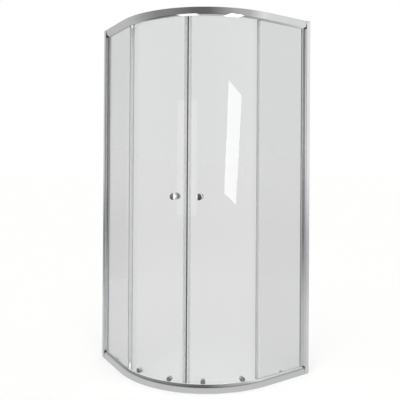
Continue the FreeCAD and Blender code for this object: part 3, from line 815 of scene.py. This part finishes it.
def makeTrim():
    for side in sides:
        strips = [
            sweep(section, *fixedSpan(side), "grey_gasket", trim["rounding"])
            for section in (gasketSection(), upsideDown(gasketSection()))
        ]
        replaced = ["rail_gaskets_" + side]
        addPiece("glazing_strips_" + side, joined(strips), "root", replaced)
    span = [arcLength(side, trim["coverReach"]) for side in sides]
    for name, section in (("bottom", coverSection()), ("top", upsideDown(coverSection()))):
        mesh = sweep(section, *span, "white_nylon", trim["rounding"])
        addPiece(name + "_cover_strip", mesh, "root", [name + "_channel_cover"])


knobLook = {
    "foot": 40.45,  # inset of the outer knob's foot, beyond its washer
    "innerFoot": 47.55,
    "baseRadius": 10,
    "baseLength": 4,
    "neckRadius": 7,
    "neckLength": 11,
    "headRadius": 17.5,
    "length": 30,
    "footRound": 0.4,
    "baseRound": 0.8,
    "neckRound": 1.2,
    "edgeRound": 3,
    "crown": 0.8,  # how much the face domes
    "crownSteps": 8,
    "turns": 72,
}
capLook = {
    "foot": 47.55,
    "radius": 11,
    "length": 6,
    "footRound": 0.4,
    "edgeRound": 2.4,
    "turns": 48,
}


# Spins a half section of (radius, height) points about Z and puts it in place
def turnedMesh(name, outline, turns, matrix):
    work = bmesh.new()
    points = [work.verts.new((radius * mm, 0, height * mm)) for radius, height in outline]
    edges = [work.edges.new(pair) for pair in zip(points, points[1:])]
    bmesh.ops.spin(
        work,
        geom=points + edges,
        cent=(0, 0, 0),
        axis=(0, 0, 1),
        angle=math.tau,
        steps=turns,
        use_merge=True,
    )
    bmesh.ops.remove_doubles(work, verts=work.verts, dist=meshCare["mergeWithin"] * mm)
    bmesh.ops.transform(work, matrix=matrix, verts=work.verts)
    mesh = bpy.data.meshes.new(name)
    work.to_mesh(mesh)
    work.free()
    return cleanMesh(mesh)


def knobOutline():
    head, length, neckEnd = knobLook["headRadius"], knobLook["length"], knobLook["neckLength"]
    base, neck, baseEnd = knobLook["baseRadius"], knobLook["neckRadius"], knobLook["baseLength"]
    shoulder = length - knobLook["crown"]
    footRound, baseRound = knobLook["footRound"], knobLook["baseRound"]
    outline = [(0, 0), (base - footRound, 0), (base, footRound)]
    outline += [(base, baseEnd - baseRound), (base - baseRound, baseEnd)]
    outline += softCorner((neck, baseEnd), (base, baseEnd), (neck, neckEnd), knobLook["neckRound"])
    outline += [(neck, neckEnd)]
    outline += softCorner((head, neckEnd), (neck, neckEnd), (head, length), knobLook["edgeRound"])
    outline += softCorner((head, shoulder), (head, neckEnd), (0, shoulder), knobLook["edgeRound"])
    rim = head - knobLook["edgeRound"]
    steps = knobLook["crownSteps"]
    for step in range(1, steps + 1):
        radius = rim * (1 - step / steps)
        outline.append((radius, length - knobLook["crown"] * (radius / rim) ** 2))
    return outline


def capOutline():
    radius, length, footRound = capLook["radius"], capLook["length"], capLook["footRound"]
    outline = [(0, 0), (radius - footRound, 0), (radius, footRound)]
    outline += softCorner((radius, length), (radius, 0), (0, length), capLook["edgeRound"])
    outline.append((0, length))
    return outline


# Knobs on both faces of the doors, and the cap nuts of the rollers inside
def makeTurnedPieces():
    inward = Matrix.Rotation(math.pi, 4, "Y")
    for side in sides:
        place = (side, doorFittings["knobAngle"], doorFittings["knobHeight"])
        outer = radialTurn(*place, knobLook["foot"])
        inner = radialTurn(*place, knobLook["innerFoot"]) @ inward
        for name, matrix in (("outer", outer), ("inner", inner)):
            mesh = turnedMesh("knob", knobOutline(), knobLook["turns"], matrix)
            mesh.materials.append(materials["chromed_metal"])
            label = name + "_knob_" + side
            addPiece(label + "_turning", mesh, "door_" + side, [label])
        for level, height in zip(("bottom", "top"), doorFittings["rollerHeights"]):
            caps = []
            for angle in doorFittings["rollerAngles"]:
                matrix = radialTurn(side, angle, height, capLook["foot"]) @ inward
                caps.append(turnedMesh("cap", capOutline(), capLook["turns"], matrix))
            mesh = joined(caps)
            mesh.materials.append(materials["chromed_metal"])
            label = f"{level}_roller_caps_{side}"
            addPiece(label + "_turned", mesh, "door_" + side, [label])


makeRails()
print("rails: done")
makeFixedGlass()
makeDoorGlass()
print("glass: done")
makeTrim()
makeTurnedPieces()
print("trim, knobs and caps: done")


studio = {
    "skyForLight": 0.6,  # the sky and the soft lamp together light the object at about 1
    "floorReach": 40,  # metres
    "floorColour": "EFEFEE",
    "floorLift": 0.12,
    "lampStrength": 1.6,
    "lampSpread": 50,
    "lampFrom": (-1.1, -1.5, 2.6),
}


# 1 for what the camera sees, straight or through glass or in metal, and 0 for plain light
def addLightPath(tree):
    path = addNode(tree, "ShaderNodeLightPath")
    seen = addNode(
        tree,
        "ShaderNodeMath",
        {"operation": "MAXIMUM"},
        {0: path.outputs["Is Camera Ray"], 1: path.outputs["Is Glossy Ray"]},
    )
    shown = addNode(
        tree,
        "ShaderNodeMath",
        {"operation": "MAXIMUM"},
        {0: seen.outputs[0], 1: path.outputs["Is Transmission Ray"]},
    )
    return shown.outputs[0]


def makeWorld():
    world = bpy.data.worlds.new("paleStudio")
    bpy.context.scene.world = world
    world.use_nodes = True
    tree = world.node_tree
    tree.nodes.clear()
    strength = addNode(
        tree,
        "ShaderNodeMapRange",
        {"To Min": studio["skyForLight"], "To Max": 1.0},
        {"Value": addLightPath(tree)},
    )
    sky = addNode(
        tree,
        "ShaderNodeBackground",
        {"Color": linear("FFFFFF")},
        {"Strength": strength.outputs["Result"]},
    )
    addNode(tree, "ShaderNodeOutputWorld", links={"Surface": sky.outputs["Background"]})


def makeFloor():
    reach = studio["floorReach"]
    mesh = bpy.data.meshes.new("floor")
    corners = [(-reach, -reach, 0), (reach, -reach, 0), (reach, reach, 0), (-reach, reach, 0)]
    mesh.from_pydata(corners, [], [(0, 1, 2, 3)])
    floor = bpy.data.objects.new("floor", mesh)
    bpy.context.scene.collection.objects.link(floor)
    material, tree = newMaterial("palePaintedFloor")
    # The paint shows the shadows, and the lift takes the lit floor up to white
    lift = addNode(
        tree,
        "ShaderNodeMath",
        {"operation": "MULTIPLY", 1: studio["floorLift"]},
        {0: addLightPath(tree)},
    )
    paint = addNode(tree, "ShaderNodeBsdfDiffuse", {"Color": linear(studio["floorColour"])})
    glow = addNode(
        tree, "ShaderNodeEmission", {"Color": linear("FFFFFF")}, {"Strength": lift.outputs[0]}
    )
    both = addNode(
        tree, "ShaderNodeAddShader", links={0: paint.outputs["BSDF"], 1: glow.outputs["Emission"]}
    )
    finish(tree, both.outputs["Shader"])
    mesh.materials.append(material)


# One broad soft lamp, high in front and to the left
def addLamp():
    lamp = bpy.data.lights.new("softLamp", "SUN")
    lamp.energy = studio["lampStrength"]
    lamp.angle = math.radians(studio["lampSpread"])
    item = bpy.data.objects.new("softLamp", lamp)
    item.rotation_euler = Vector(studio["lampFrom"]).to_track_quat("Z", "Y").to_euler()
    bpy.context.scene.collection.objects.link(item)
    item.visible_glossy = False


def finishCard(name, points, faces, material):
    mesh = bpy.data.meshes.new(name)
    mesh.from_pydata(points, [], faces)
    mesh.materials.append(material)
    card = bpy.data.objects.new(name, mesh)
    bpy.context.scene.collection.objects.link(card)
    for kind in ("camera", "diffuse", "transmission", "volume_scatter", "shadow"):
        setattr(card, "visible_" + kind, False)


# A bent card round the object that only its reflections show. Corners are (direction, height):
# low start, low end, high end, high start
def stageCard(name, radius, corners, material, steps):
    lowA, lowB, highB, highA = corners
    points, faces = [], []
    for step in range(steps + 1):
        part = step / steps
        for first, last in ((lowA, lowB), (highA, highB)):
            turn = math.radians(first[0] + (last[0] - first[0]) * part)
            height = first[1] + (last[1] - first[1]) * part
            points.append(Vector((radius * math.cos(turn), radius * math.sin(turn), height)) * mm)
        if step < steps:
            near = 2 * step
            faces.append((near, near + 1, near + 3, near + 2))
    finishCard(name, points, faces, material)


# A grey card that lies on the floor round the front, and only shows in reflections
def floorCard(material):
    near, far = cardLook["floorRing"]
    low, high = surroundLook["span"]
    level = cardLook["floorHeight"]
    steps = cardLook["floorSteps"]
    points, faces = [], []
    for step in range(steps + 1):
        turn = math.radians(low + (high - low) * step / steps)
        for radius in (near, far):
            points.append(Vector((radius * math.cos(turn), radius * math.sin(turn), level)) * mm)
        if step < steps:
            first = 2 * step
            faces.append((first, first + 1, first + 3, first + 2))
    finishCard("greyCard", points, faces, material)


# An even glow. A window card shows in a mirror, but not in the mirror image of a mirror image
def brightMaterial(name, tone, window=True):
    material, tree = newMaterial(name)
    glow = addNode(tree, "ShaderNodeEmission", {"Color": linear("FFFFFF"), "Strength": tone})
    if not window:
        finish(tree, glow.outputs["Emission"])
        return material
    path = addNode(tree, "ShaderNodeLightPath")
    again = addNode(
        tree,
        "ShaderNodeMath",
        {"operation": "GREATER_THAN", 1: cardLook["mirrorLimit"]},
        {0: path.outputs["Glossy Depth"]},
    )
    nothing = addNode(tree, "ShaderNodeBsdfTransparent")
    shown = addNode(
        tree,
        "ShaderNodeMixShader",
        links={0: again.outputs[0], 1: glow.outputs["Emission"], 2: nothing.outputs["BSDF"]},
    )
    finish(tree, shown.outputs["Shader"])
    return material


# A grey whose tone changes round the ring and darkens downward, with a lit strip along its foot
def surroundMaterial(name, look):
    material, tree = newMaterial(name)
    place = addNode(tree, "ShaderNodeTexCoord")
    ring = addNode(
        tree,
        "ShaderNodeMapping",
        {"Rotation": (0, 0, math.pi)},
        {"Vector": place.outputs["Object"]},
    )
    radial = addNode(
        tree,
        "ShaderNodeTexGradient",
        {"gradient_type": "RADIAL"},
        {"Vector": ring.outputs["Vector"]},
    )
    ramp = addNode(tree, "ShaderNodeValToRGB", links={"Fac": radial.outputs["Fac"]})
    elements = ramp.color_ramp.elements
    while len(elements) < len(look["tones"]):
        elements.new(0.5)
    for element, (turn, tone) in zip(elements, look["tones"]):
        element.position = turn / 360
        element.color = (tone, tone, tone, 1)
    parts = addNode(tree, "ShaderNodeSeparateXYZ", links={"Vector": place.outputs["Object"]})
    level = addNode(
        tree,
        "ShaderNodeMapRange",
        {
            "From Min": look["dimBelow"] * mm,
            "From Max": look["fullAbove"] * mm,
            "To Min": look["dimShare"],
            "To Max": 1.0,
        },
        {"Value": parts.outputs["Z"]},
    )
    foot = addNode(
        tree,
        "ShaderNodeMapRange",
        {"From Min": 0.0, "From Max": look["footHeight"] * mm, "To Min": 1.0, "To Max": 0.0},
        {"Value": parts.outputs["Z"]},
    )
    wall = addNode(
        tree,
        "ShaderNodeEmission",
        links={"Color": ramp.outputs["Color"], "Strength": level.outputs["Result"]},
    )
    bounce = addNode(
        tree, "ShaderNodeEmission", {"Color": linear("FFFFFF"), "Strength": look["footTone"]}
    )
    glow = addNode(
        tree,
        "ShaderNodeMixShader",
        links={
            0: foot.outputs["Result"],
            1: wall.outputs["Emission"],
            2: bounce.outputs["Emission"],
        },
    )
    finish(tree, glow.outputs["Shader"])
    return material


surroundLook = {
    "radius": 2100,
    "height": 3800,
    "span": (102, 318),  # directions in degrees, as in the tones
    "steps": 90,
    "dimBelow": 550,  # below this height only the dim share of the tone shows
    "fullAbove": 1000,
    "dimShare": 0.52,
    "footHeight": 450,  # the floor lights the wall's foot up to here
    "footTone": 0.5,
    "tones": [
        (105, 0.72),
        (120, 0.6),
        (130, 0.62),
        (145, 0.55),
        (159, 0.42),
        (178, 0.3),
        (197, 0.27),
        (211, 0.21),
        (222, 0.16),
        (237, 0.17),
        (251, 0.34),
        (266, 0.5),
        (280, 0.56),
        (290, 0.8),
        (296, 0.95),
        (304, 0.86),
        (315, 0.86),
    ],
}
cardLook = {
    "radius": 790,
    "steps": 40,
    "mirrorLimit": 1.5,  # between the first mirror and the second
    "brightTone": 6.0,
    "brightCorners": [(255.7, 935), (268.5, 861), (274.3, 1557), (260.2, 1662)],
    "paleTone": 1.35,
    "paleCorners": [(204, 785), (226, 785), (226, 1536), (204, 1536)],
    "floorTone": 0.66,
    "floorRing": (330, 2090),
    "floorHeight": 1,
    "floorSteps": 60,
}


def makeStudio():
    makeWorld()
    makeFloor()
    addLamp()
    low, high = surroundLook["span"]
    top = surroundLook["height"]
    surround = surroundMaterial("greySurround", surroundLook)
    ring = [(low, 0), (high, 0), (high, top), (low, top)]
    stageCard("surround", surroundLook["radius"], ring, surround, surroundLook["steps"])
    radius, steps = cardLook["radius"], cardLook["steps"]
    bright = brightMaterial("brightCard", cardLook["brightTone"])
    stageCard("brightCard", radius, cardLook["brightCorners"], bright, steps)
    pale = brightMaterial("paleCard", cardLook["paleTone"])
    stageCard("paleCard", radius, cardLook["paleCorners"], pale, steps)
    floorCard(brightMaterial("greyCard", cardLook["floorTone"], window=False))


makeStudio()

photoCamera = {
    "place": (-1436.4, -2375.9, 1096.1),
    "yaw": 34.278,
    "pitch": 0.199,
    "roll": 0.344,
    "focalPixels": 506.12,
    "axisPixel": (230.16, 162.59),
    "imagePixels": 400,
    "sensorWidth": 36,
    "seesTo": 50,  # metres
}


def makeCamera():
    data = bpy.data.cameras.new("camera")
    camera = bpy.data.objects.new("camera", data)
    bpy.context.scene.collection.objects.link(camera)
    yaw, pitch, roll = (math.radians(photoCamera[name]) for name in ("yaw", "pitch", "roll"))
    ahead = Vector(
        (math.sin(yaw) * math.cos(pitch), math.cos(yaw) * math.cos(pitch), math.sin(pitch))
    )
    level = Vector((math.cos(yaw), -math.sin(yaw), 0))
    upright = level.cross(ahead)
    across = math.cos(roll) * level + math.sin(roll) * upright
    upward = across.cross(ahead)
    turn = Matrix((across, upward, -ahead)).transposed().to_4x4()
    camera.matrix_world = Matrix.Translation(Vector(photoCamera["place"]) * mm) @ turn
    pixels = photoCamera["imagePixels"]
    data.sensor_width = photoCamera["sensorWidth"]
    data.lens = data.sensor_width * photoCamera["focalPixels"] / pixels
    data.shift_x = (pixels / 2 - photoCamera["axisPixel"][0]) / pixels
    data.shift_y = (photoCamera["axisPixel"][1] - pixels / 2) / pixels
    data.clip_end = photoCamera["seesTo"]
    bpy.context.scene.camera = camera


makeCamera()
bpy.context.scene.view_settings.view_transform = "Standard"
print("studio and camera: done")
